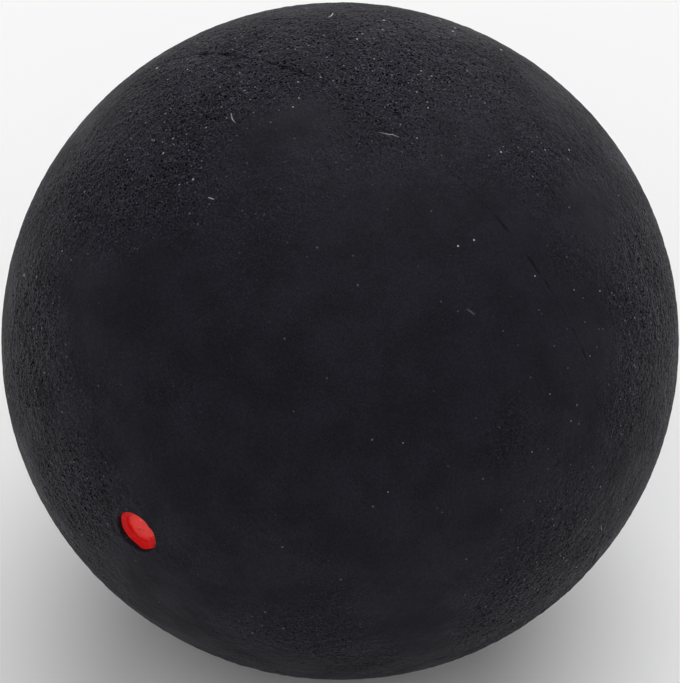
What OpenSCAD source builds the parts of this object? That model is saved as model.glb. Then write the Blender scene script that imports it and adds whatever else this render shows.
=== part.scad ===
// Squash ball: two moulded rubber half shells, cemented edge to edge round a
// sealed pocket of air, with one painted speed dot in a moulded dimple.
// The origin is the centre of the ball. The seam lies in the XZ plane, the dot
// faces -Y and +Z is up.

/* [Ball] */
// Diameter over the outside of the finished ball
ball_d = 40; // [38:0.25:46]
// Thickness of the rubber wall
wall = 5.2; // [4:0.1:6.5]

/* [Seam] */
// Thickness of the cured rubber cement between the two joint faces
bond_t = 0.1; // [0.06:0.02:0.3]
// How far the cement stops short of the outer surface, which shows as a hairline
bond_sink = 0.05; // [0.02:0.01:0.2]
// Radius of the bead of cement squeezed out into the hollow
bead_r = 0.45; // [0.2:0.05:1.2]

/* [Speed dot] */
// Diameter of the dimple that holds the paint
dimple_d = 2.75; // [2:0.05:5]
// Depth of the dimple at its middle, below the crown of the ball
dimple_depth = 0.72; // [0.5:0.02:1.5]
// Width of the worn bevel round the dimple's lip
lip_bevel = 0.08; // [0.03:0.01:0.2]
// Thickness of the paint over the dimple's floor
paint_t = 0.12; // [0.05:0.01:0.25]
// How high the paint climbs the dimple's wall above its level middle
paint_climb = 0.18; // [0.05:0.01:0.25]
// Width of the band in which the paint turns up to the wall
paint_climb_w = 0.22; // [0.1:0.02:0.6]

/* [Hidden] */
$fn = 180;

// How far a cutting shape runs past the rubber that it cuts
overrun = 1;

// Sections are drawn with x as the distance from the dot's axis and y as the
// height above the middle of the seam
ball_r = ball_d / 2;
cavity_r = ball_r - wall;
joint_y = bond_t / 2;
dimple_r = dimple_d / 2;

// Height at which the dimple's wall would meet the ball's curve
lip_y = sqrt(ball_r * ball_r - dimple_r * dimple_r);
floor_y = ball_r - dimple_depth;
paint_y = floor_y + paint_t;
cut_top_y = ball_r + overrun;

rubber_colour = [0.12, 0.12, 0.14];
cement_colour = [0.07, 0.07, 0.08];
paint_colour = [0.80, 0.14, 0.13];

// Turns a shape drawn about its own +Z axis so that it faces the dot's side
module facing_dot() {
  rotate([90, 0, 0])
    children();
}

// Turns a shape drawn about its own +Z axis so that it faces the other side
module facing_back() {
  rotate([-90, 0, 0])
    children();
}

// Wall of one half shell, from its joint face up to the crown
module wall_section() {
  intersection() {
    difference() {
      circle(r = ball_r);
      circle(r = cavity_r);
    }
    translate([0, joint_y])
      square(cut_top_y);
  }
}

// Space cut from the crown for the dimple: a straight wall with a bevelled lip
module dimple_section() {
  polygon([
    [-overrun, floor_y],
    [dimple_r, floor_y],
    [dimple_r, lip_y - lip_bevel],
    [dimple_r + lip_bevel + cut_top_y - lip_y, cut_top_y],
    [-overrun, cut_top_y]
  ]);
}

// Film of cement between the joint faces, with the bead that it leaves inside
module bond_section() {
  translate([cavity_r - bead_r / 2, -joint_y])
    square([wall - bond_sink + bead_r / 2, bond_t]);
  intersection() {
    circle(r = cavity_r);
    translate([cavity_r, 0])
      circle(r = bead_r);
  }
}

// Paint that covers the dimple's floor and turns up at the wall
module paint_section() {
  polygon([
    [0, floor_y],
    [dimple_r, floor_y],
    [dimple_r, paint_y + paint_climb],
    [dimple_r - paint_climb_w, paint_y],
    [0, paint_y]
  ]);
}

module dotted_half_shell() {
  color(rubber_colour)
    facing_dot()
      rotate_extrude()
        difference() {
          wall_section();
          dimple_section();
        }
}

module plain_half_shell() {
  color(rubber_colour)
    facing_back()
      rotate_extrude()
        wall_section();
}

module seam_bond() {
  color(cement_colour)
    facing_dot()
      rotate_extrude()
        bond_section();
}

module speed_dot() {
  color(paint_colour)
    facing_dot()
      rotate_extrude()
        paint_section();
}

dotted_half_shell();
plain_half_shell();
seam_bond();
speed_dot();
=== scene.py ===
import math
from collections import namedtuple

import bpy
import numpy as np
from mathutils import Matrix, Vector, noise


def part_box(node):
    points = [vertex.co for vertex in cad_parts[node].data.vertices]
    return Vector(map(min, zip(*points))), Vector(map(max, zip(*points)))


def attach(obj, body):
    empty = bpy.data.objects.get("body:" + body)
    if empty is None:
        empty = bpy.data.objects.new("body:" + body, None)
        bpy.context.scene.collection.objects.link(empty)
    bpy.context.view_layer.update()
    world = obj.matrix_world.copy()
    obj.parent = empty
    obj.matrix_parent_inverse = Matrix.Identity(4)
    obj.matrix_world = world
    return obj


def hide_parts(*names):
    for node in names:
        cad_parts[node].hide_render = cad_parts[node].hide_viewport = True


bl_info = {
    "name": "Squash Ball",
    "version": (1, 0, 0),
    "blender": (4, 5, 0),
    "location": "View3D > Sidebar > Squash Ball",
    "description": "Dresses the squash ball: buffed rubber halves, cemented seam and painted speed dot",
    "category": "Object",
}

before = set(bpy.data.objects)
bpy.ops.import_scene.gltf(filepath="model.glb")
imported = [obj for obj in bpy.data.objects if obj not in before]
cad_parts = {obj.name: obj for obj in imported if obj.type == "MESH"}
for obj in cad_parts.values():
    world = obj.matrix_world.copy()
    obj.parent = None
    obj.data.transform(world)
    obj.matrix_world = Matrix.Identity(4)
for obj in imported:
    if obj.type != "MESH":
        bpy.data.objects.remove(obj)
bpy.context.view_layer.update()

MM = 0.001

# The photograph's frame, where the ball's outline is centred in it, how long the lens is and how far
# the camera sees in metres
PHOTO_W_PX = 680
PHOTO_H_PX = 683
OUTLINE_CENTRE_PX = (340.06, 341.14)
LENS_PX = 11849.0
FARTHEST = 20.0

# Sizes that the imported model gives. The dot faces -Y and the seam lies in the XZ plane.
BALL_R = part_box("plain_half_shell")[1].y
JOINT_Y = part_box("plain_half_shell")[0].y
CEMENT_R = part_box("seam_bond")[1].x
DIMPLE_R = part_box("speed_dot")[1].x
FLOOR_H = -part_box("speed_dot")[1].y
PAINT_EDGE_H = -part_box("speed_dot")[0].y


def least(node, measure):
    """Smallest value of a measure over a CAD node's vertices."""
    return min(measure(vertex.co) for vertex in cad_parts[node].data.vertices)


CAVITY_R = least("plain_half_shell", lambda co: co.length)
BEAD_INNER_R = least("seam_bond", lambda co: math.hypot(co.x, co.z))
JUST_ABOVE_FLOOR_H = FLOOR_H + 0.02 * MM
PAINT_LEVEL_H = least("speed_dot", lambda co: -co.y if -co.y > JUST_ABOVE_FLOOR_H else BALL_R)
LIP_H = math.sqrt(BALL_R ** 2 - DIMPLE_R ** 2)
assert PAINT_LEVEL_H < PAINT_EDGE_H < LIP_H, "the paint has to lie below the dimple's lip"
assert CEMENT_R < BALL_R, "the cement has to end below the skin"


# Settings that a user would change


def length_property(name, description, default):
    """A setting that is a length."""
    return bpy.props.FloatProperty(name=name, description=description, default=default, unit="LENGTH")


def colour_property(name, description, default):
    """A setting that is a colour."""
    return bpy.props.FloatVectorProperty(
        name=name, description=description, default=default, min=0, max=1, subtype="COLOR")


class SquashBallCamera(bpy.types.PropertyGroup):
    azimuth: bpy.props.FloatProperty(
        name="Azimuth", description="Angle of the camera round the ball, from the dot's axis",
        default=math.radians(36.44), subtype="ANGLE", unit="ROTATION")
    elevation: bpy.props.FloatProperty(
        name="Elevation", description="Angle of the camera above the floor",
        default=math.radians(43.77), subtype="ANGLE", unit="ROTATION")
    distance: length_property("Distance", "From the camera to the middle of the ball", 35 * BALL_R)


class SquashBallSkin(bpy.types.PropertyGroup):
    mesh_step: length_property("Mesh step", "Length of a triangle's side on the outer skin", 0.185 * MM)
    swell_size: length_property("Swell size", "Width of the slow rises left by buffing", 2.4 * MM)
    swell_height: length_property("Swell height", "Height of the slow rises left by buffing", 0.012 * MM)
    pebble_size: length_property("Pebble size", "Width of the pebbled grain on worn patches", 0.50 * MM)
    pebble_height: length_property("Pebble height", "Height of the pebbled grain on worn patches", 0.075 * MM)
    wrinkle_size: length_property(
        "Wrinkle size", "Spacing of the short wrinkles and pits in the rubber's skin", 0.25 * MM)
    wrinkle_depth: length_property(
        "Wrinkle depth", "Depth of the short wrinkles and pits in the rubber's skin", 0.08 * MM)
    fold_size: length_property("Fold size", "Spacing of the soft folds between the wrinkles", 0.30 * MM)
    fold_height: length_property("Fold height", "Height of the soft folds between the wrinkles", 0.24 * MM)
    grain_size: length_property("Grain size", "Spacing of the matt grain between the wrinkles", 0.11 * MM)
    grain_height: length_property("Grain height", "Height of the matt grain between the wrinkles", 0.006 * MM)
    rubber: colour_property("Rubber", "Colour of clean rubber", (0.0113, 0.0106, 0.0153))
    # Pale bluish ridge colour: partly the dulling of use and partly a painted highlight
    bloom_and_highlight: colour_property("Bloom", "Colour of the ridges where use has dulled them", (0.062, 0.0615, 0.088))
    # Pale grey of the dust specks, spots and scuffs, also used for the painted glints and highlights
    chalk_and_glint: colour_property("Chalk", "Colour of the dust specks caught in the skin", (0.42, 0.43, 0.46))
    cement: colour_property(
        "Cement", "Colour of the cured rubber cement in the seam", (0.0042, 0.0040, 0.0050))


class SquashBallSeam(bpy.types.PropertyGroup):
    open_gap: length_property("Open gap", "Width of the seam where it shows as a hairline", 0.055 * MM)
    closed_gap: length_property("Closed gap", "Width of the seam where buffing has closed it", 0.008 * MM)
    groove_depth: length_property("Groove depth", "Depth of the groove along the open stretches", 0.035 * MM)
    grime_w: length_property(
        "Grime width", "How far the darker grime spreads from the open stretches", 0.13 * MM)


class SquashBallDot(bpy.types.PropertyGroup):
    lip_round: length_property("Lip rounding", "Radius of the rounded edge of the dimple", 0.07 * MM)
    paint_edge_w: length_property(
        "Paint edge width", "Width of the band in which the paint turns up to the wall", 0.32 * MM)
    pool_w: length_property(
        "Pool width", "Width of the band along the wall in which the paint pooled", 0.5 * MM)
    # Lighter and pinker than the paint's own red, as a painted reflection
    paint: colour_property("Paint", "Colour of the speed dot's paint in the middle", (1.0, 0.055, 0.048))
    # Deeper red where the paint pooled, darkened further as painted shade from the wall
    pooled_and_shaded_paint: colour_property(
        "Pooled paint", "Colour of the speed dot's paint where it pooled along the wall",
        (0.84, 0.007, 0.006))
    # Pale pink flecks: dried crumbs of paint, and painted glints
    crumb_and_glint: colour_property("Crumb", "Colour of the dried crumbs in the paint", (0.90, 0.22, 0.20))


class SquashBallStage(bpy.types.PropertyGroup):
    floor_half: length_property("Floor half width", "Half the width of the floor under the ball", 1.8)
    floor: colour_property("Floor", "Colour of the floor", (0.90, 0.90, 0.90))
    lamp_distance: length_property("Lamp distance", "From each soft lamp to the ball", 1.2)
    lamp_radius: length_property("Lamp radius", "Radius of each round soft lamp", 0.62)
    back_power: bpy.props.FloatProperty(
        name="Back lamp power", description="Power of the soft lamp above and behind the ball",
        default=9.8, unit="POWER")
    front_power: bpy.props.FloatProperty(
        name="Front lamp power", description="Power of the soft lamp above the camera",
        default=3.5, unit="POWER")
    surround_back: bpy.props.FloatProperty(
        name="Surround behind", description="Brightness of the white surround at the horizon behind the ball",
        default=1.0)
    surround_front: bpy.props.FloatProperty(
        name="Surround in front", description="Brightness of the surround at the horizon by the camera",
        default=0.4)
    surround_above: bpy.props.FloatProperty(
        name="Surround above", description="Brightness of the surround overhead", default=0.45)


# Places taken from the photograph


def direction_of(azimuth, elevation):
    """Unit vector from the ball towards an azimuth and an elevation."""
    return Vector((math.sin(azimuth) * math.cos(elevation),
                   -math.cos(azimuth) * math.cos(elevation),
                   math.sin(elevation)))


def camera_axes(settings):
    """Unit vectors from the ball towards the camera, to the picture's right and to its top."""
    azimuth = settings.azimuth
    back = direction_of(azimuth, settings.elevation)
    right = Vector((math.cos(azimuth), math.sin(azimuth), 0))
    return back, right, back.cross(right)


def sight_line(settings, pixel):
    """Eye point and direction of the line of sight through a pixel of the photograph."""
    back, right, up = camera_axes(settings)
    across = (pixel[0] - OUTLINE_CENTRE_PX[0]) / LENS_PX
    down = (pixel[1] - OUTLINE_CENTRE_PX[1]) / LENS_PX
    return back * settings.distance, (right * across - up * down - back).normalized()


def ball_point(settings, pixel):
    """Point of the ball's surface that a pixel of the photograph shows."""
    eye, ray = sight_line(settings, pixel)
    along = -eye.dot(ray)
    miss_squared = eye.length_squared - along ** 2
    return eye + ray * (along - math.sqrt(max(0.0, BALL_R ** 2 - miss_squared)))


def paint_point(settings, pixel):
    """Point of the speed dot's flat middle that a pixel of the photograph shows."""
    eye, ray = sight_line(settings, pixel)
    return eye + ray * ((-PAINT_LEVEL_H - eye.y) / ray.y)


def seam_angle(point):
    """Angle of a point round the dot's axis."""
    return math.atan2(point.z, point.x)


def smooth_step(low, high, value):
    """0 below low, 1 above high and a smooth rise between."""
    share = np.clip((value - low) / (high - low), 0.0, 1.0)
    return share * share * (3 - 2 * share)


def at_least(low, share):
    """A share from 0 to 1 moved to the range from low to 1."""
    return low + (1 - low) * share


def turned_from(angle, start):
    """Angle from a start angle, between half a turn back and half a turn on."""
    return (angle - start + math.pi) % (2 * math.pi) - math.pi


def bell(distance, width):
    """1 at no distance, falling smoothly to nearly 0 at twice the width."""
    return np.exp(-(distance / width) ** 2)


def noise_at(points, size):
    """Noise of a size at each point, from -1 to 1."""
    return np.array([noise.noise(Vector(point) / size) for point in points])


# Places in the noise, one for each use of noise_round
UNSEEN_RING = 5.0
BREAKS_RING = 229.15
STRAY_RING = -3.0
LIP_RING = 2.0
PAINT_RING = 7.0


def noise_round(angle, radius, ring, size):
    """Noise of a size round the dot's axis, at each angle and one radius, from -1 to 1."""
    return np.array([noise.noise(Vector((math.cos(a), ring, math.sin(a))) * radius / size) for a in angle])


# Stretches of the seam that show in the photograph: end pixels, how open the seam is
# and how much grime it holds
SEAM_STRETCHES_PX = (
    ((188, 55), (238, 55), 2.2, 0.45),
    ((262, 62), (303, 73), 1.3, 0.45),
    ((480, 199), (508, 232), 0.25, 0.9),
    ((527, 255), (550, 288), 0.75, 0.5),
    ((556, 300), (586, 358), 0.6, 0.5),
    ((599, 397), (609, 425), 0.4, 0.6),
)
OPENNESS, GRIME = 2, 3

# Slow waves in which the seam strays from its plane: times round the ball, height and turn
STRAY_WAVES = ((1, 0.37 * MM, math.radians(149)), (2, 0.17 * MM, math.radians(-44.5)))

# Ripples on those waves: height and size
STRAY_RIPPLES = ((0.045 * MM, 1.3 * MM), (0.04 * MM, 0.6 * MM))

# Patches of wrinkled skin and of calm skin in the photograph: middle pixel, radius in pixels and strength
WORN_PATCHES_PX = (
    ((217, 64), 88, 1.3),
    ((365, 44), 88, 1.2),
    ((480, 75), 70, 0.8),
    ((648, 290), 75, 1.05),
    ((528, 608), 82, 0.7),
    ((28, 340), 75, 0.85),
    ((80, 180), 65, 0.35),
    ((65, 480), 60, 0.8),
    ((575, 205), 50, -0.5),
    ((522, 218), 50, -0.45),
    ((632, 395), 50, 0.5),
    ((175, 495), 55, -0.6),
    ((345, 400), 270, -0.85),
)

# Crease that leaves the dimple's lip on either side
LIP_CREASE_PX = ((111.5, 512), (112, 521), (115, 529), (121, 536.5), (127, 541.5), (132.5, 548), (135.5, 553))

# Pale scuffs, partly scuffed rubber and partly painted highlight along the lit edges of nicks: half width in
# millimetres, then a chain of pixels with the strength at each
SCUFFS_AND_HIGHLIGHTS_PX = (
    (0.045, ((376.5, 131.6, 0.0), (384.7, 133.6, 0.4), (389.3, 134.3, 0.75), (392.6, 134.3, 0.65),
             (396.6, 136.2, 0.35), (401.5, 138.2, 0.0))),
    (0.055, ((328.6, 17.2, 0.7), (330.8, 16.2, 1.0), (332.1, 14.8, 1.0), (333.0, 13.0, 0.6))),
    (0.050, ((231.2, 113.5, 0.6), (231.9, 118.0, 0.9), (233.5, 120.8, 0.5), (235.7, 123.0, 0.1))),
    (0.090, ((467.9, 309.6, 0.10), (471.0, 311.8, 0.14), (474.2, 314.3, 0.10))),
    (0.040, ((236.0, 135.6, 0.3), (238.0, 135.8, 0.1))),
    (0.045, ((208.5, 197.5, 0.6), (211.0, 198.3, 0.9), (213.5, 199.3, 0.6))),
    (0.040, ((601.6, 524.0, 0.2), (601.2, 528.5, 0.7), (601.4, 532.0, 0.3))),
    (0.040, ((120.2, 517.5, 0.5), (120.9, 518.4, 0.2))),
    (0.035, ((119.2, 522.2, 0.35), (119.7, 523.0, 0.1))),
)

# Clear dust spots: radius in millimetres, strength, then the pixel of each spot
DUST_SPOTS_PX = (
    (0.075, 1.0, ((501, 152), (569, 150), (474, 240), (458, 246), (357, 39))),
    (0.110, 1.0, ((501, 50), (24, 275), (157, 68), (384, 20), (440, 20), (455, 28), (453, 31))),
    (0.065, 0.9, ((35, 391), (146, 123), (600, 291))),
    (0.065, 0.8, ((214, 70), (171, 109), (293, 107), (299, 98), (298, 82), (374, 59), (421, 71),
        (418, 75), (428, 108), (62, 251), (535, 276))),
    (0.060, 0.55, ((382, 58), (356, 69), (429, 79), (392, 75), (417, 92), (396, 103), (388, 105),
        (385, 107), (485, 103), (417, 138), (53, 201), (75, 216), (71, 260), (62, 412),
        (34, 438), (74, 462), (574, 290), (612, 293), (550, 394), (577, 405), (571, 421),
        (634, 365), (590, 356), (388, 492), (403, 443), (532, 452))),
    (0.050, 0.35, ((140, 148), (204, 149), (201, 168), (240, 88), (279, 110), (391, 104), (391, 110),
        (472, 42), (63, 214), (16, 328), (83, 455), (85, 458), (583, 298), (539, 310),
        (503, 331), (585, 322), (599, 329), (603, 329), (554, 346), (597, 347), (568, 368),
        (548, 449))),
    (0.050, 0.2, ((247, 163), (175, 146), (195, 192), (412, 143), (58, 311), (567, 329), (636, 314),
        (636, 427), (448, 466), (437, 508), (548, 469), (596, 479), (608, 454), (476, 418))),
)

# Thin cuts in the skin, darkened with painted shade, in the same form as the scuffs
CUTS_PX = (
    (0.055, ((382.5, 130.5, 0.0), (385.5, 131.4, 0.9), (390.0, 132.4, 0.8), (394.0, 133.0, 0.0))),
    (0.050, ((327.9, 15.6, 0.4), (330.2, 13.8, 0.6), (331.0, 12.6, 0.2))),
    (0.050, ((328.8, 18.6, 0.6), (331.5, 18.2, 0.3))),
)

# Folds in the speed dot's paint, darkened with painted shade, in the same form
PAINT_FOLDS_PX = (
    (0.080, ((136.4, 529.4, 0.1), (139.5, 529.0, 0.7), (142.3, 529.9, 0.6), (145.0, 531.6, 0.1))),
    (0.070, ((130.5, 522.0, 0.0), (131.5, 525.5, 0.3), (133.0, 528.5, 0.0))),
)


# Solids turned round the dot's axis

# A ring of vertices round the dot's axis, step apart. skin, lip, seam and groove say how far it follows
# the skin's relief, the lip's wobble, the seam's straying and the seam's groove.
Ring = namedtuple("Ring", "radius height step skin lip seam groove", defaults=(0.0, 0.0, 0.0, 0.0))
Turned = namedtuple("Turned", "radius height angle skin lip seam groove faces")


def faces_between(first, first_count, second, second_count):
    """Triangles that join two rings of vertices, which may have different counts."""
    nudge = 1e-6
    triangles = []
    if first_count > 1:
        i = np.arange(first_count)
        apex = np.floor((i + 0.5) * second_count / first_count + 0.5 - nudge).astype(int) % second_count
        triangles.append(np.stack([first + i, first + (i + 1) % first_count, second + apex], 1))
    if second_count > 1:
        j = np.arange(second_count)
        apex = np.floor((j + 0.5) * first_count / second_count + 0.5 + nudge).astype(int) % first_count
        triangles.append(np.stack([second + (j + 1) % second_count, second + j, first + apex], 1))
    return np.concatenate(triangles)


def turn(rings, closed=False):
    """Vertices and triangles of a section that is turned round the dot's axis."""
    fewest = 16
    counts = [max(fewest, round(2 * math.pi * ring.radius / ring.step)) if ring.radius > 0 else 1
              for ring in rings]
    starts = np.concatenate([[0], np.cumsum(counts)[:-1]])
    columns = [np.repeat([getattr(ring, name) for ring in rings], counts)
               for name in ("radius", "height", "skin", "lip", "seam", "groove")]
    angle = np.concatenate([np.arange(count) * 2 * math.pi / count for count in counts])
    pairs = list(zip(range(len(rings) - 1), range(1, len(rings))))
    if closed:
        pairs.append((len(rings) - 1, 0))
    faces = np.concatenate([faces_between(starts[a], counts[a], starts[b], counts[b]) for a, b in pairs])
    return Turned(columns[0], columns[1], angle, *columns[2:], faces)


def outwards(points):
    """Unit vectors from the ball's middle towards each point."""
    return points / np.linalg.norm(points, axis=1)[:, None]


def points_of(radius, height, angle, side):
    """Row frame points of turned vertices. side is -1 towards the dot and +1 away from it."""
    return np.stack([radius * np.cos(angle), side * height, radius * np.sin(angle)], 1)


def add_object(name, data):
    """A new object in the scene."""
    made = bpy.data.objects.new(name, data)
    bpy.context.scene.collection.objects.link(made)
    return made


def mesh_object(name, points, faces, side, material, sharp_angle):
    """A smooth-shaded mesh object with sharp edges where its faces turn by more than sharp_angle."""
    wound = faces if side > 0 else faces[:, ::-1]
    mesh = bpy.data.meshes.new(name)
    mesh.from_pydata(points.tolist(), [], wound.tolist())
    mesh.validate()
    mesh.shade_smooth()
    mesh.set_sharp_from_angle(angle=sharp_angle)
    mesh.materials.append(material)
    return add_object(name, mesh)


def dress(piece, node):
    """Puts a piece in the place of its CAD node."""
    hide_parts(node)
    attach(piece, "root")


# The rubber's skin


def wear_at(camera, points):
    """How wrinkled the skin is at each point, from 0 to 1."""
    mean_wear = 0.45
    drift_share = 0.6
    drift_size = 7 * MM
    patch_spread = 1.5
    gain = 1.3
    on_ball = outwards(points) * BALL_R
    wear = mean_wear + drift_share * noise_at(on_ball, drift_size)
    for pixel, radius_px, strength in WORN_PATCHES_PX:
        reach = patch_spread * radius_px * camera.distance / LENS_PX
        away = np.linalg.norm(on_ball - np.array(ball_point(camera, pixel)), axis=1)
        wear = wear + strength * (1 - smooth_step(0.0, reach, away))
    return 1 - np.exp(-gain * np.maximum(wear, 0.0))


def skin_relief(skin, points, wear):
    """Height of the skin above the true ball at each point."""
    calm_share = 0.15
    swell = skin.swell_height * noise_at(points, skin.swell_size)
    pebble = skin.pebble_height * noise_at(points, skin.pebble_size)
    return swell + pebble * at_least(calm_share, wear)


def seam_strength(camera, angle, measure):
    """How open the seam is at each angle round the dot's axis, or how much grime it holds."""
    unseen_share = 0.7
    unseen_size = 4 * MM
    unseen_range = (0.12, 0.4)
    break_size = 0.8 * MM
    break_range = (-0.25, 0.2)
    break_share = 0.15
    margin = math.radians(8)
    fade = math.radians(1.2)

    place = turned_from(angle, 0)
    ends = [[seam_angle(ball_point(camera, pixel)) for pixel in row[:2]] for row in SEAM_STRETCHES_PX]
    seen = (place > ends[-1][1] - margin) & (place < ends[0][0] + margin)
    unseen = smooth_step(*unseen_range, noise_round(angle, BALL_R, UNSEEN_RING, unseen_size))
    strength = np.where(seen, 0.0, unseen_share * unseen)
    for (high, low), row in zip(ends, SEAM_STRETCHES_PX):
        rise = smooth_step(low - fade, low + fade, place)
        fall = 1 - smooth_step(high - fade, high + fade, place)
        strength = np.maximum(strength, rise * fall * row[measure])
    unbroken = smooth_step(*break_range, noise_round(angle, BALL_R, BREAKS_RING, break_size))
    return strength * at_least(break_share, unbroken)


def seam_wander(angle):
    """How far the seam strays from the XZ plane at each angle round the dot's axis."""
    waves = sum(height * np.cos(times * angle - phase) for times, height, phase in STRAY_WAVES)
    ripples = sum(height * noise_round(angle, BALL_R, STRAY_RING, size) for height, size in STRAY_RIPPLES)
    return waves + ripples


def joint_shift(seam, angle, opening, side):
    """How far an edge of the joint moves along the dot's axis, with the seam's straying and its gap."""
    gap = seam.closed_gap + (seam.open_gap - seam.closed_gap) * opening
    return seam_wander(angle) - side * (JOINT_Y - gap / 2)


# Material building

# Range that an even noise rarely leaves
MID_NOISE = (0.3, 0.7)

# Vector Math operations whose result is a number
NUMBER_RESULTS = ("DISTANCE", "DOT_PRODUCT", "LENGTH")


def add_node(tree, kind, inputs=None, **settings):
    """Adds a shader node. inputs holds a value, or another node's output, for each socket."""
    made = tree.nodes.new(kind)
    for name, value in settings.items():
        setattr(made, name, value)
    for socket, value in (inputs or {}).items():
        if isinstance(value, bpy.types.NodeSocket):
            tree.links.new(value, made.inputs[socket])
        else:
            made.inputs[socket].default_value = value
    return made


def calculate(tree, operation, *operands):
    """Output of a Math node."""
    return add_node(tree, "ShaderNodeMath", dict(enumerate(operands)), operation=operation).outputs[0]


def calculate_vector(tree, operation, *operands):
    """Output of a Vector Math node."""
    made = add_node(tree, "ShaderNodeVectorMath", dict(enumerate(operands)), operation=operation)
    return made.outputs["Value" if operation in NUMBER_RESULTS else "Vector"]


def product(tree, *factors):
    """Product of several values."""
    result = factors[0]
    for factor in factors[1:]:
        result = calculate(tree, "MULTIPLY", result, factor)
    return result


def strongest(tree, marks):
    """Strength of the strongest of several marks."""
    result = marks[0]
    for mark in marks[1:]:
        result = calculate(tree, "MAXIMUM", result, mark)
    return result


def remap(tree, value, low, high, to_low=0.0, to_high=1.0):
    """A value moved smoothly from one range to another."""
    limits = {"Value": value, "From Min": low, "From Max": high, "To Min": to_low, "To Max": to_high}
    return add_node(tree, "ShaderNodeMapRange", limits, interpolation_type="SMOOTHSTEP").outputs[0]


def mottle(tree, where, scale, detail=1.0, distortion=0.0):
    """Even noise from 0 to 1."""
    settings = {"Vector": where, "Scale": scale, "Detail": detail, "Distortion": distortion}
    return add_node(tree, "ShaderNodeTexNoise", settings).outputs["Fac"]


def mix_colour(tree, share, first, second):
    """Colour between two colours."""
    made = add_node(tree, "ShaderNodeMix", {0: share, 6: first, 7: second}, data_type="RGBA")
    return made.outputs[2]


def scale_vector(tree, vector, factor):
    """A place or a colour times a factor."""
    return add_node(tree, "ShaderNodeVectorMath", {0: vector, "Scale": factor}, operation="SCALE").outputs[0]


def mesh_value(tree, name):
    """A value that the mesh carries at its vertices."""
    return add_node(tree, "ShaderNodeAttribute", attribute_name=name).outputs["Fac"]


def new_material(name):
    """An empty node material with its shader, its tree and the place in millimetres."""
    material = bpy.data.materials.new(name)
    material.use_nodes = True
    tree = material.node_tree
    place = add_node(tree, "ShaderNodeTexCoord").outputs["Object"]
    return material, tree.nodes["Principled BSDF"], tree, scale_vector(tree, place, 1 / MM)


def link_surface(tree, shader, colour, roughness, height, specular):
    """Links a colour, a roughness and a relief in millimetres to the shader."""
    bump = add_node(tree, "ShaderNodeBump", {"Height": height, "Distance": MM})
    tree.links.new(colour, shader.inputs["Base Color"])
    tree.links.new(roughness, shader.inputs["Roughness"])
    tree.links.new(bump.outputs[0], shader.inputs["Normal"])
    shader.inputs["Specular IOR Level"].default_value = specular


def specks(tree, where, cell_mm, radius_mm):
    """Sparse round specks of uneven size and strength."""
    smallest = 0.3
    sharp_to = 0.55
    rarity = 2.5
    cells = add_node(tree, "ShaderNodeTexVoronoi", {"Vector": where, "Scale": 1 / cell_mm})
    chance = add_node(tree, "ShaderNodeSeparateColor", {"Color": cells.outputs["Color"]}).outputs[0]
    distance = product(tree, cells.outputs["Distance"], cell_mm)
    radius = remap(tree, chance, 0.0, 1.0, smallest * radius_mm, radius_mm)
    near = calculate(tree, "DIVIDE", distance, radius)
    strength = calculate(tree, "POWER", chance, rarity)
    return product(tree, remap(tree, near, sharp_to, 1.0, 1.0, 0.0), strength)


def skin_pits(tree, where, spacing_mm):
    """Distance to the nearest pit of the skin, as a share of the pits' spacing."""
    bend_mm = 0.4
    bend = add_node(tree, "ShaderNodeTexNoise", {"Vector": where, "Scale": 1 / bend_mm, "Detail": 1.0})
    bent = calculate_vector(tree, "MULTIPLY_ADD", bend.outputs["Color"], (bend_mm,) * 3, where)
    pits = add_node(tree, "ShaderNodeTexVoronoi", {"Vector": bent, "Scale": 1 / spacing_mm})
    return pits.outputs["Distance"]


def mark_group():
    """Node group that draws a straight mark whose strength changes from one end to the other."""
    sharp_to = 0.2
    group = bpy.data.node_groups.new("straight_mark", "ShaderNodeTree")
    for name, kind in (("Point", "Vector"), ("Start", "Vector"), ("End", "Vector"), ("Half width", "Float"),
                       ("Start strength", "Float"), ("End strength", "Float")):
        group.interface.new_socket(name, in_out="INPUT", socket_type=f"NodeSocket{kind}")
    group.interface.new_socket("Mark", in_out="OUTPUT", socket_type="NodeSocketFloat")
    given = group.nodes.new("NodeGroupInput").outputs
    result = group.nodes.new("NodeGroupOutput")
    offset = calculate_vector(group, "SUBTRACT", given["Point"], given["Start"])
    length = calculate_vector(group, "SUBTRACT", given["End"], given["Start"])
    reached = calculate_vector(group, "DOT_PRODUCT", offset, length)
    whole = calculate_vector(group, "DOT_PRODUCT", length, length)
    ratio = add_node(group, "ShaderNodeMath", {0: reached, 1: whole}, operation="DIVIDE", use_clamp=True)
    share = ratio.outputs[0]
    gap = calculate_vector(group, "DISTANCE", offset, scale_vector(group, length, share))
    gap = calculate(group, "DIVIDE", gap, given["Half width"])
    across = remap(group, gap, sharp_to, 1.0, 1.0, 0.0)
    strength = {"Value": share, "To Min": given["Start strength"], "To Max": given["End strength"]}
    along = add_node(group, "ShaderNodeMapRange", strength).outputs[0]
    group.links.new(product(group, across, along), result.inputs["Mark"])
    return group


def marks_along(tree, where, group, chains, camera, point_at):
    """Strength of the marks along chains of photograph pixels, from 0 to 1. point_at places a pixel."""
    marks = []
    for half_width_mm, chain in chains:
        for start, end in zip(chain[:-1], chain[1:]):
            values = {"Point": where, "Half width": half_width_mm,
                      "Start": point_at(camera, start[:2]) / MM, "Start strength": start[2],
                      "End": point_at(camera, end[:2]) / MM, "End strength": end[2]}
            made = add_node(tree, "ShaderNodeGroup", values, node_tree=group)
            marks.append(made.outputs["Mark"])
    return strongest(tree, marks)


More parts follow.
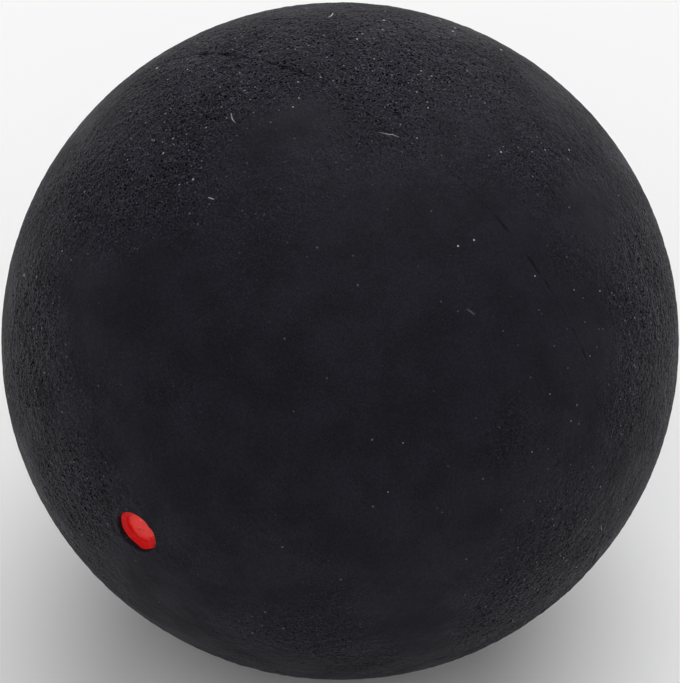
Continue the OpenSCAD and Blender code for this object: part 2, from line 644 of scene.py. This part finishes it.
def dust_spots(tree, where, camera):
    """Strength of the clear dust spots of the photograph, from 0 to 1."""
    sharp_to = 0.4
    spots = []
    for radius_mm, strength, pixels in DUST_SPOTS_PX:
        nearest = BALL_R / MM
        for pixel in pixels:
            away = calculate_vector(tree, "DISTANCE", where, ball_point(camera, pixel) / MM)
            nearest = calculate(tree, "MINIMUM", nearest, away)
        spots.append(remap(tree, nearest, sharp_to * radius_mm, radius_mm, strength, 0.0))
    return strongest(tree, spots)


# Distance from a pit at which the valley round it ends and the ridge beyond it starts and ends,
# as shares of the pits' spacing
VALLEY_END = (0.23, 0.37)
RIDGE_START = (0.32, 0.44)
RIDGE_END = (0.46, 0.64)

# Specks by chance: size of the cell that may hold one and radius of the largest, in millimetres
# The faint specks are painted glints on the grain of worn skin
GRAIN_GLINTS_MM = (0.42, 0.065)
BRIGHT_SPECKS_MM = (1.0, 0.085)
# Flecks in the paint: dried crumbs and painted glints
CRUMBS_AND_GLINTS_MM = (0.4, 0.09)


def rubber_relief(tree, skin, where, worn, valley, grain):
    """Height in millimetres of the rubber's finest relief: grain, soft folds and wrinkles."""
    folds = mottle(tree, where, MM / skin.fold_size, detail=2.0)
    fold = product(tree, calculate(tree, "SUBTRACT", folds, 0.5), worn)
    height = product(tree, grain, skin.grain_height / MM)
    height = calculate(tree, "MULTIPLY_ADD", fold, skin.fold_height / MM, height)
    return calculate(tree, "MULTIPLY_ADD", valley, -skin.wrinkle_depth / MM, height)


def rubber_colour(tree, skin, worn, valley, from_pit, grain, tone):
    """Colour of the rubber: mottled, with painted shade in the valleys, and on the ridges a pale bluish bloom
    that is partly dulling by use and partly a painted highlight.
    """
    tone_shades = (0.85, 1.2)
    grain_range = (0.25, 0.75)
    grain_shades = (0.75, 1.3)
    full_valley = 0.8
    painted_valley_shade = 0.05
    worn_shade = 0.55
    beyond_ridge = 0.1
    bloom_and_highlight_grain = (0.42, 0.66)
    between_grains = 0.05
    # Shades of the clean rubber: random mottling, fine grain, painted shade in the valleys and darker worn
    # skin
    shades = (remap(tree, tone, *MID_NOISE, *tone_shades),
              remap(tree, grain, *grain_range, *grain_shades),
              remap(tree, valley, 0.0, full_valley, 1.0, painted_valley_shade),
              remap(tree, worn, 0.0, 1.0, 1.0, worn_shade))
    clean = scale_vector(tree, (*skin.rubber,), product(tree, *shades))
    # Ridges round the pits are lightened towards that colour, partly as dulling by use and partly as a
    # painted highlight
    ridge_bloom_and_highlight = product(tree,
                    remap(tree, from_pit, *RIDGE_START),
                    remap(tree, from_pit, *RIDGE_END, 1.0, beyond_ridge),
                    remap(tree, grain, *bloom_and_highlight_grain, between_grains, 1.0),
                    worn)
    return mix_colour(tree, ridge_bloom_and_highlight, clean, (*skin.bloom_and_highlight, 1))


def rubber_dust_and_glints(tree, where, worn, group, camera):
    """Strength of the dust specks and spots, of the scuffs with painted highlights along nicks and of the
    painted glints on the grain, which lighten the rubber, from 0 to 1.
    """
    glint_share = 0.7
    worn_range = (0.1, 0.7)
    bright_shares = (0.2, 0.8)
    # Painted glints on the grain of worn skin
    grain_glints = product(tree, worn, glint_share, specks(tree, where, *GRAIN_GLINTS_MM))
    bright = product(tree, specks(tree, where, *BRIGHT_SPECKS_MM),
                     remap(tree, worn, *worn_range, *bright_shares))
    # Scuffs: partly scuffed rubber, partly painted highlight along the edges of nicks
    scuffs = marks_along(tree, where, group, SCUFFS_AND_HIGHLIGHTS_PX, camera, ball_point)
    return strongest(tree, (bright, grain_glints, scuffs, dust_spots(tree, where, camera)))


def rubber_material(skin, camera, group):
    """Matt black rubber with fine wrinkles, grain, dust specks and a few scuffs, with painted shade in the
    valleys and cuts and painted highlights on the ridges, the grain and the edges of nicks.
    """
    calm_share = 0.04
    full_wear = 0.95
    break_scale = 1.0
    break_range = (0.36, 0.58)
    break_share = 0.5
    tone_scale = 0.35
    painted_cut_shade = 0.1
    grime_shade = 0.45
    roughness_range = (0.63, 0.53)
    valley_roughness = 0.45
    material, shader, tree, where = new_material("buffed_black_rubber")
    worn = remap(tree, mesh_value(tree, "wear"), 0.0, full_wear, calm_share, 1.0)
    from_pit = skin_pits(tree, where, skin.wrinkle_size / MM)
    grain = mottle(tree, where, MM / skin.grain_size)
    tone = mottle(tree, where, tone_scale, detail=3.0)
    unbroken = remap(tree, mottle(tree, where, break_scale), *break_range, break_share, 1.0)
    valley = product(tree, remap(tree, from_pit, *VALLEY_END, 1.0, 0.0), unbroken, worn)

    colour = rubber_colour(tree, skin, worn, valley, from_pit, grain, tone)
    colour = mix_colour(tree, rubber_dust_and_glints(tree, where, worn, group, camera), colour, (*skin.chalk_and_glint, 1))
    cuts = marks_along(tree, where, group, CUTS_PX, camera, ball_point)
    # The cuts are darkened with painted shade as well as sunk
    colour = scale_vector(tree, colour, remap(tree, cuts, 0.0, 1.0, 1.0, painted_cut_shade))
    colour = scale_vector(tree, colour, remap(tree, mesh_value(tree, "grime"), 0.0, 1.0, 1.0, grime_shade))

    height = rubber_relief(tree, skin, where, worn, valley, grain)
    height = calculate(tree, "MULTIPLY_ADD", cuts, -skin.wrinkle_depth / MM, height)
    roughness = remap(tree, tone, *MID_NOISE, *roughness_range)
    roughness = calculate(tree, "MULTIPLY_ADD", valley, valley_roughness, roughness)
    link_surface(tree, shader, colour, roughness, height, specular=0.072)
    return material


def cement_material(skin):
    """Cured rubber cement: darker and duller than the rubber, with a fine grain."""
    grain_scale = 6.0
    grain_height_mm = 0.01
    shades = (0.7, 1.3)
    roughness_range = (0.75, 0.9)
    material, shader, tree, where = new_material("cured_rubber_cement")
    grain = mottle(tree, where, grain_scale, detail=2.0)
    colour = scale_vector(tree, (*skin.cement,), remap(tree, grain, *MID_NOISE, *shades))
    roughness = remap(tree, grain, *MID_NOISE, *roughness_range)
    link_surface(tree, shader, colour, roughness, product(tree, grain, grain_height_mm), specular=0.15)
    return material


def paint_material(dot, camera, group):
    """Red paint: satin and uneven in the middle, where it is painted lighter and pinker as a painted
    reflection, and deeper and glossier where it pooled along the wall, where it is also darkened as painted
    shade.
    """
    streak_scale = 1.6
    streak_height_mm = 0.09
    streak_reach_mm = 0.9
    streak_range = (0.35, 0.65)
    streak_shades = (0.9, 1.03)
    fleck_scale = 9.0
    fleck_height_mm = 0.014
    pool_blend_mm = 0.2
    crumb_and_glint_share = 0.8
    painted_fold_shade = 0.55
    fold_depth_mm = 0.03
    roughness_range = (0.34, 0.20)
    material, shader, tree, where = new_material("speed_dot_paint")
    streaks = mottle(tree, where, streak_scale, detail=3.0, distortion=0.8)
    fleck = mottle(tree, where, fleck_scale)
    reach = calculate_vector(tree, "LENGTH", calculate_vector(tree, "MULTIPLY", where, (1, 0, 1)))
    reach = calculate(tree, "MULTIPLY_ADD", streaks, streak_reach_mm, reach)
    pool_start = (DIMPLE_R - dot.pool_w) / MM + streak_reach_mm / 2
    pooled = remap(tree, reach, pool_start - pool_blend_mm, pool_start + pool_blend_mm)

    # Painted reflection in the middle, deeper red with painted shade along the wall
    colour = mix_colour(tree, pooled, (*dot.paint, 1), (*dot.pooled_and_shaded_paint, 1))
    colour = scale_vector(tree, colour, remap(tree, streaks, *streak_range, *streak_shades))
    # Pale pink flecks: partly dried crumbs, partly painted glints
    crumbs = product(tree, specks(tree, where, *CRUMBS_AND_GLINTS_MM), crumb_and_glint_share)
    colour = mix_colour(tree, crumbs, colour, (*dot.crumb_and_glint, 1))
    folds = marks_along(tree, where, group, PAINT_FOLDS_PX, camera, paint_point)
    # The folds are darkened with painted shade as well as sunk
    colour = scale_vector(tree, colour, remap(tree, folds, 0.0, 1.0, 1.0, painted_fold_shade))

    height = calculate(tree, "MULTIPLY_ADD", fleck, fleck_height_mm, product(tree, streaks, streak_height_mm))
    height = calculate(tree, "MULTIPLY_ADD", folds, -fold_depth_mm, height)
    roughness = remap(tree, pooled, 0.0, 1.0, *roughness_range)
    link_surface(tree, shader, colour, roughness, height, specular=0.14)
    return material


# Sections of the pieces

# Rings of the skin beside the joint: height above it in millimetres, share of the seam's straying and
# share of its groove
JOINT_BAND_MM = 0.45
EDGE_RINGS_MM = (
    (JOINT_BAND_MM, 0.2, 0.0), (0.3, 0.5, 0.0), (0.18, 0.8, 0.05), (0.11, 0.95, 0.2),
    (0.065, 1.0, 0.5), (0.035, 1.0, 0.75), (0.015, 1.0, 0.9), (0.0, 1.0, 1.0),
)

# Rings of the joint face near the skin: depth below the skin in millimetres and share of the seam's straying
FACE_RINGS_MM = ((0.02, 1.0), (0.06, 0.9), (0.2, 0.6), (0.6, 0.2))
GROOVE_REACH = 0.1 * MM

# Steps between the rings that nobody sees, in the hollow and under the paint
HIDDEN_STEPS = 5
COVERED_STEPS = 4

SHARP_ANGLE = math.radians(50)


def skin_rings(first_angle, step, first_step):
    """Rings of the outer skin, from first_angle at the pole's side to just short of the joint.

    The rings start first_step apart and widen until they are one step apart."""
    widening = 1.06
    last_angle = math.pi / 2 - JOINT_BAND_MM * MM / BALL_R
    rings = []
    angle, gap = first_angle, first_step
    while angle < last_angle - 0.5 * gap / BALL_R:
        rings.append(Ring(BALL_R * math.sin(angle), BALL_R * math.cos(angle), gap, skin=1.0))
        angle += gap / BALL_R
        gap = min(step, gap * widening)
    return rings


def edge_rings(step):
    """Rings from the last of the skin over the rounded edge of the joint."""
    rings = []
    for above, seam, groove in EDGE_RINGS_MM:
        height = JOINT_Y + above * MM
        radius = math.sqrt(BALL_R ** 2 - height ** 2)
        rings.append(Ring(radius, height, step, skin=1.0, seam=seam, groove=groove))
    return rings


def face_rings(step):
    """Rings down the joint face, from just below the skin to the hollow."""
    rings = []
    for below, seam in FACE_RINGS_MM:
        groove = 1.0 if below * MM < GROOVE_REACH else 0.0
        rings.append(Ring(BALL_R - below * MM, JOINT_Y, step, seam=seam, groove=groove))
    outer = rings[-1].radius
    for share in (0.25, 0.5, 0.75, 1.0):
        rings.append(Ring(outer + (CAVITY_R - outer) * share, JOINT_Y, HIDDEN_STEPS * step))
    return rings


def hollow_rings(step):
    """Rings of the hollow's wall, from the joint to the pole."""
    coarse = HIDDEN_STEPS * step
    count = round(CAVITY_R * math.pi / 2 / coarse)
    rings = []
    for row in range(1, count):
        angle = math.pi / 2 * (1 - row / count)
        rings.append(Ring(CAVITY_R * math.sin(angle), CAVITY_R * math.cos(angle), coarse))
    return [*rings, Ring(0, CAVITY_R, coarse)]


def bead_rings(step):
    """Rings of the cement's bead in the hollow, from one half's side to the other's."""
    bead_r = CAVITY_R - BEAD_INNER_R
    first_angle = math.radians(12)
    rows = 13
    return [Ring(CAVITY_R - bead_r * math.sin(angle), bead_r * math.cos(angle), 2 * step)
            for angle in np.linspace(first_angle, math.pi - first_angle, rows)]


def paint_rings(dot, step):
    """Rings of the paint: its underside on the dimple's floor, its edge at the wall and its top."""
    edge_rows = 9
    edge_power = 1.8
    climb = PAINT_EDGE_H - PAINT_LEVEL_H
    rings = [Ring(0, FLOOR_H, step), Ring(DIMPLE_R / 2, FLOOR_H, COVERED_STEPS * step),
             Ring(DIMPLE_R, FLOOR_H, step)]
    for row in range(edge_rows + 1):
        share = 1 - row / edge_rows
        radius = DIMPLE_R - dot.paint_edge_w * (1 - share)
        rings.append(Ring(radius, PAINT_LEVEL_H + climb * share ** edge_power, step, lip=share))
    level_r = DIMPLE_R - dot.paint_edge_w
    rows = round(level_r / step)
    for row in range(1, rows + 1):
        rings.append(Ring(level_r * (1 - row / rows), PAINT_LEVEL_H, step))
    return rings


def dimple_rings(dot, step):
    """Rings of the dimple, from the middle of its floor up the wall and over the rounded lip."""
    rings = [Ring(0, FLOOR_H, step)]
    for share in (0.3, 0.6, 0.85, 1.0):
        rings.append(Ring(DIMPLE_R * share, FLOOR_H, COVERED_STEPS * step))
    wall_top = LIP_H - dot.lip_round
    rows = 12
    for row in range(1, rows + 1):
        share = row / rows
        rings.append(Ring(DIMPLE_R, FLOOR_H + (wall_top - FLOOR_H) * share, step, lip=share ** 2))
    turns = 5
    for row in range(1, turns + 1):
        angle = math.pi / 2 * row / turns
        radius = DIMPLE_R + dot.lip_round * (1 - math.cos(angle))
        height = wall_top + dot.lip_round * math.sin(angle)
        height = min(height, math.sqrt(BALL_R ** 2 - radius ** 2))
        rings.append(Ring(radius, height, step, lip=1.0))
    return rings


def shape_half(rings, side, context):
    """Turned rings of one rubber half, and its points, wear and grime with all relief."""
    scene = context.scene
    camera, skin, seam = scene.squash_camera, scene.squash_skin, scene.squash_seam
    made = turn(rings)
    radius = made.radius + made.lip * lip_wobble(made.angle)
    points = points_of(radius, made.height, made.angle, side)

    near_seam = made.seam > 0
    seam_angles = made.angle[near_seam]
    opening, grime = np.zeros((2, len(points)))
    opening[near_seam] = seam_strength(camera, seam_angles, OPENNESS)
    grime[near_seam] = seam_strength(camera, seam_angles, GRIME)
    grime *= bell(made.height - JOINT_Y, seam.grime_w)
    shift = joint_shift(seam, seam_angles, opening[near_seam], side)
    points[near_seam, 1] += made.seam[near_seam] * shift

    wear = wear_at(camera, points)
    lift = made.skin * skin_relief(skin, points, wear)
    lift -= made.groove * opening * seam.groove_depth
    if side < 0:
        lift -= made.skin * crease_depth(camera, points)
    return made, points + outwards(points) * lift[:, None], wear, grime


def lip_wobble(angle):
    """How far the dimple's lip strays outwards at each angle, with the burr on its near side."""
    wobble_height = 0.035 * MM
    wobble_size = 0.7 * MM
    burr_height = 0.09 * MM
    burr_angle = math.radians(46)
    burr_width = math.radians(9)
    wobble = wobble_height * noise_round(angle, DIMPLE_R, LIP_RING, wobble_size)
    return wobble - burr_height * bell(turned_from(angle, burr_angle), burr_width)


def crease_depth(camera, points):
    """Depth of the crease that leaves the dimple's lip."""
    depth = 0.035 * MM
    half_width = 0.07 * MM
    dot_side = -0.99 * BALL_R
    chain = [np.array(ball_point(camera, pixel)) for pixel in LIP_CREASE_PX]
    nearest = np.full(len(points), BALL_R)
    close = points[:, 1] < dot_side
    for start, end in zip(chain[:-1], chain[1:]):
        along = end - start
        share = np.clip((points[close] - start) @ along / (along @ along), 0, 1)
        away = np.linalg.norm(points[close] - start - share[:, None] * along, axis=1)
        nearest[close] = np.minimum(nearest[close], away)
    return depth * bell(nearest, half_width)


def paint_waves(made, points):
    """How far the paint's top rises at each vertex: ripples, an uneven edge and one run up the wall."""
    size = 0.45 * MM
    ripple_height = 0.012 * MM
    wobble_height = 0.04 * MM
    run_up_height = 0.14 * MM
    run_up_angle = math.radians(-75)
    run_up_width = math.radians(20)
    ripple = ripple_height * noise_at(points, size)
    wobble = wobble_height * noise_round(made.angle, DIMPLE_R, PAINT_RING, size)
    run_up = run_up_height * bell(turned_from(made.angle, run_up_angle), run_up_width)
    return np.where(made.height >= PAINT_LEVEL_H, ripple + (wobble + run_up) * made.lip ** 2, 0.0)


def build_half(name, node, rings, side, context, material):
    """One rubber half as an object in the place of its CAD node."""
    made, points, wear, grime = shape_half(rings, side, context)
    piece = mesh_object(name, points, made.faces, side, material, SHARP_ANGLE)
    for label, values in (("wear", wear), ("grime", grime)):
        attribute = piece.data.attributes.new(label, "FLOAT", "POINT")
        attribute.data.foreach_set("value", values.astype(np.float32))
    dress(piece, node)
    return piece


class SQUASHBALL_OT_rubber_halves(bpy.types.Operator):
    """Make the two moulded rubber halves, with the dimple in one of them"""

    bl_idname = "squash_ball.rubber_halves"
    bl_label = "Rubber halves"

    def execute(self, context):
        scene = context.scene
        skin, dot = scene.squash_skin, scene.squash_dot
        step = skin.mesh_step
        lip_step = 0.05 * MM
        material = rubber_material(skin, scene.squash_camera, mark_group())
        shared = [*edge_rings(step), *face_rings(step), *hollow_rings(step)]
        plain = [Ring(0, BALL_R, step, skin=1.0), *skin_rings(step / BALL_R, step, step), *shared]
        build_half("plain_rubber_half", "plain_half_shell", plain, 1, context, material)
        lip = dimple_rings(dot, lip_step)
        first_angle = math.asin(lip[-1].radius / BALL_R) + lip_step / BALL_R
        dotted = [*lip, *skin_rings(first_angle, step, lip_step), *shared]
        build_half("dotted_rubber_half", "dotted_half_shell", dotted, -1, context, material)
        return {"FINISHED"}


class SQUASHBALL_OT_cement_ring(bpy.types.Operator):
    """Make the film of cured rubber cement between the halves, with its bead inside"""

    bl_idname = "squash_ball.cement_ring"
    bl_label = "Cement ring"

    def execute(self, context):
        scene = context.scene
        camera, skin, seam = scene.squash_camera, scene.squash_skin, scene.squash_seam
        step = skin.mesh_step
        sink = 0.001 * MM
        face = face_rings(step)
        far_face = [ring._replace(height=-ring.height) for ring in reversed(face)]
        rim = Ring(BALL_R, 0.0, step, seam=1.0)
        made = turn([rim, *face, *bead_rings(step), *far_face], closed=True)
        opening = seam_strength(camera, made.angle, OPENNESS)
        shift = joint_shift(seam, made.angle, opening, np.sign(made.height))
        points = points_of(made.radius, made.height + made.seam * shift, made.angle, 1)

        near_skin = made.radius > BALL_R - GROOVE_REACH
        lift = np.where(near_skin, -sink - opening * seam.groove_depth, 0.0)
        under_skin = near_skin & (made.radius < BALL_R)
        wear = wear_at(camera, points[under_skin])
        lift[under_skin] += skin_relief(skin, points[under_skin], wear)
        points = points + outwards(points) * lift[:, None]
        piece = mesh_object("cement_ring", points, made.faces, 1, cement_material(skin), SHARP_ANGLE)
        dress(piece, "seam_bond")
        return {"FINISHED"}


class SQUASHBALL_OT_speed_dot(bpy.types.Operator):
    """Make the red paint that covers the dimple's floor and turns up at its wall"""

    bl_idname = "squash_ball.speed_dot"
    bl_label = "Speed dot"

    def execute(self, context):
        scene = context.scene
        dot = scene.squash_dot
        step = 0.04 * MM
        sharp_angle = math.radians(60)
        made = turn(paint_rings(dot, step))
        points = points_of(made.radius, made.height, made.angle, -1)
        points[:, 1] -= paint_waves(made, points)
        material = paint_material(dot, scene.squash_camera, mark_group())
        piece = mesh_object("red_speed_dot", points, made.faces, -1, material, sharp_angle)
        dress(piece, "speed_dot")
        return {"FINISHED"}


class SQUASHBALL_OT_stage(bpy.types.Operator):
    """Make the pale floor, the soft light and the camera"""

    bl_idname = "squash_ball.stage"
    bl_label = "Stage"

    def execute(self, context):
        scene = context.scene
        stage = scene.squash_stage
        make_floor(stage)
        make_light(scene, stage)
        make_camera(scene)
        scene.view_settings.view_transform = "Standard"
        return {"FINISHED"}


def floor_material(stage):
    """Pale matt card that shows its face only from above."""
    tone_scale = 0.004
    darkest = 0.985
    roughness = 0.9
    material, shader, tree, where = new_material("pale_card")
    tone = mottle(tree, where, tone_scale, detail=3.0)
    colour = scale_vector(tree, (*stage.floor,), remap(tree, tone, *MID_NOISE, darkest, 1.0))
    tree.links.new(colour, shader.inputs["Base Color"])
    shader.inputs["Roughness"].default_value = roughness
    shader.inputs["Specular IOR Level"].default_value = 0.0
    below = add_node(tree, "ShaderNodeNewGeometry").outputs["Backfacing"]
    clear = add_node(tree, "ShaderNodeBsdfTransparent")
    mixed = add_node(tree, "ShaderNodeMixShader", {0: below, 1: shader.outputs[0], 2: clear.outputs[0]})
    output = next(node for node in tree.nodes if node.type == "OUTPUT_MATERIAL")
    tree.links.new(mixed.outputs[0], output.inputs["Surface"])
    return material


def add_aimed(name, data, location, back):
    """A lamp or camera at a place, aimed against a direction."""
    made = add_object(name, data)
    made.location = location
    made.rotation_mode = "QUATERNION"
    made.rotation_quaternion = (-back).to_track_quat("-Z", "Y")
    return made


def make_floor(stage):
    """A square of pale card that the ball rests on."""
    half = stage.floor_half
    mesh = bpy.data.meshes.new("floor")
    corners = [(x * half, y * half, -BALL_R) for x, y in ((-1, -1), (1, -1), (1, 1), (-1, 1))]
    mesh.from_pydata(corners, [], [(0, 1, 2, 3)])
    mesh.materials.append(floor_material(stage))
    floor = add_object("floor", mesh)


def add_lamp(stage, name, azimuth, elevation, power):
    """A round soft lamp that faces the ball."""
    lamp = bpy.data.lights.new(name, "AREA")
    lamp.shape = "DISK"
    lamp.size = 2 * stage.lamp_radius
    lamp.energy = power
    toward = direction_of(azimuth, elevation)
    add_aimed(name, lamp, toward * stage.lamp_distance, toward)


def make_light(scene, stage):
    """Two broad soft lamps above the ball and a white surround that is dimmer overhead."""
    back_turn = math.radians(165)
    back_elevation = math.radians(50)
    front_elevation = math.radians(62)
    side_blend = (-0.7, 0.7)
    height_blend = (0.05, 0.45)
    toward_camera = scene.squash_camera.azimuth
    add_lamp(stage, "back_lamp", toward_camera + back_turn, back_elevation, stage.back_power)
    add_lamp(stage, "front_lamp", toward_camera, front_elevation, stage.front_power)

    world = bpy.data.worlds.new("surround")
    scene.world = world
    world.use_nodes = True
    tree = world.node_tree
    direction = add_node(tree, "ShaderNodeTexCoord").outputs["Generated"]
    height = add_node(tree, "ShaderNodeSeparateXYZ", {"Vector": direction}).outputs["Z"]
    away = (-math.sin(toward_camera), math.cos(toward_camera), 0)
    behind = calculate_vector(tree, "DOT_PRODUCT", direction, away)
    horizon = remap(tree, behind, *side_blend, stage.surround_front, stage.surround_back)
    strength = remap(tree, height, *height_blend, horizon, stage.surround_above)
    background = tree.nodes["Background"].inputs
    tree.links.new(strength, background["Strength"])
    background["Color"].default_value = (1, 1, 1, 1)


def make_camera(scene):
    """The photograph's camera: a long lens that frames the ball tightly."""
    settings = scene.squash_camera
    back, right, up = camera_axes(settings)
    lens = bpy.data.cameras.new("photo_camera")
    film_w_mm = 36.0
    lens.sensor_width = film_w_mm
    lens.lens = LENS_PX * film_w_mm / PHOTO_H_PX
    lens.clip_end = FARTHEST
    metres_per_px = settings.distance / LENS_PX
    across = (PHOTO_W_PX / 2 - OUTLINE_CENTRE_PX[0]) * metres_per_px
    down = (PHOTO_H_PX / 2 - OUTLINE_CENTRE_PX[1]) * metres_per_px
    location = back * settings.distance + right * across - up * down
    scene.camera = add_aimed("photo_camera", lens, location, back)


class SQUASHBALL_PT_panel(bpy.types.Panel):
    """Buttons for the squash ball's pieces and its stage"""

    bl_label = "Squash Ball"
    bl_idname = "SQUASHBALL_PT_panel"
    bl_space_type = "VIEW_3D"
    bl_region_type = "UI"
    bl_category = "Squash Ball"

    def draw(self, context):
        for operator in OPERATORS:
            self.layout.operator(operator.bl_idname)


SETTINGS = {
    "squash_camera": SquashBallCamera,
    "squash_skin": SquashBallSkin,
    "squash_seam": SquashBallSeam,
    "squash_dot": SquashBallDot,
    "squash_stage": SquashBallStage,
}
OPERATORS = (
    SQUASHBALL_OT_rubber_halves,
    SQUASHBALL_OT_cement_ring,
    SQUASHBALL_OT_speed_dot,
    SQUASHBALL_OT_stage,
)


def register():
    for kind in (*SETTINGS.values(), *OPERATORS, SQUASHBALL_PT_panel):
        bpy.utils.register_class(kind)
    for name, kind in SETTINGS.items():
        setattr(bpy.types.Scene, name, bpy.props.PointerProperty(type=kind))


def unregister():
    for name in SETTINGS:
        delattr(bpy.types.Scene, name)
    for kind in reversed((*SETTINGS.values(), *OPERATORS, SQUASHBALL_PT_panel)):
        bpy.utils.unregister_class(kind)


def main():
    """Builds every piece and the stage."""
    register()
    bpy.ops.squash_ball.rubber_halves()
    bpy.ops.squash_ball.cement_ring()
    bpy.ops.squash_ball.speed_dot()
    bpy.ops.squash_ball.stage()


if __name__ == "__main__":
    main()
